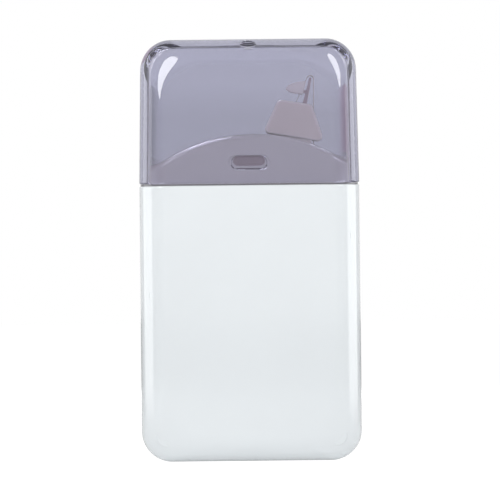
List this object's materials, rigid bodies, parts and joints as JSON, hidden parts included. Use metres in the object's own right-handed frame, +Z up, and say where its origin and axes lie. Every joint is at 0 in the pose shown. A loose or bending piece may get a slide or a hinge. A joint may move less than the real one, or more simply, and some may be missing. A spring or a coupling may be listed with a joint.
{
  "type": "correction tape",
  "caption": "Pocket correction tape: flat rounded case with geared supply and take-up spools, a wedge applicator head on an arched neck, and a clear pull-off cap over it.",
  "frame": {"origin": "middle of the base, in the middle of the depth, with the cap up", "axes": "+X to the right across the front, +Y from the front face to the back, +Z up towards the cap"},
  "size_m": [0.036, 0.0132, 0.069],
  "materials": {
    "case_white": "glossy cool white moulding",
    "cap_smoke": "clear smoky lilac moulding",
    "head_natural": "natural satin moulding",
    "tip_white": "soft satin",
    "tape_coat": "chalky white coat on film",
    "carrier_film": "bare carrier film",
    "gear_plastic": "natural slippery moulding",
    "core_plastic": "natural moulding",
    "guide_film": "clear film disc",
    "clutch_rubber": "matt black ring"
  },
  "bodies": {
    "case": {"rear_case": "case_white", "front_case": "case_white", "applicator_head": "head_natural", "applicator_tip": "tip_white", "tape_feed_strand": "tape_coat", "tape_return_strand": "carrier_film"},
    "cap": {"cap": "cap_smoke"},
    "supply_drive": {"supply_gear": "gear_plastic", "clutch_ring": "clutch_rubber", "supply_retainer": "core_plastic"},
    "supply_spool": {"supply_core": "core_plastic", "rear_guide_disc": "guide_film", "front_guide_disc": "guide_film", "tape_supply_roll": "tape_coat"},
    "take_up": {"take_up_reel": "gear_plastic", "take_up_flange": "core_plastic", "tape_take_up_roll": "carrier_film"}
  },
  "joints": [
    {"name": "cap_pull", "type": "slide", "parent": "case", "child": "cap", "axis": [0, 0, 1], "range_m": [0, 0.03]},
    {"name": "supply_gear_spin", "type": "hinge", "parent": "case", "child": "supply_drive", "pos_m": [0, 0, 0.01771], "axis": [0, 1, 0], "continuous": true},
    {"name": "clutch_slip", "type": "hinge", "parent": "supply_drive", "child": "supply_spool", "pos_m": [0, 0, 0.01771], "axis": [0, 1, 0], "continuous": true},
    {"name": "take_up_spin", "type": "hinge", "parent": "case", "child": "take_up", "pos_m": [-0.00861, 0, 0.03668], "axis": [0, 1, 0], "continuous": true}
  ],
  "couplings": [
    {"joint": "take_up_spin", "follows": "supply_gear_spin", "ratio": -2.4444}
  ]
}
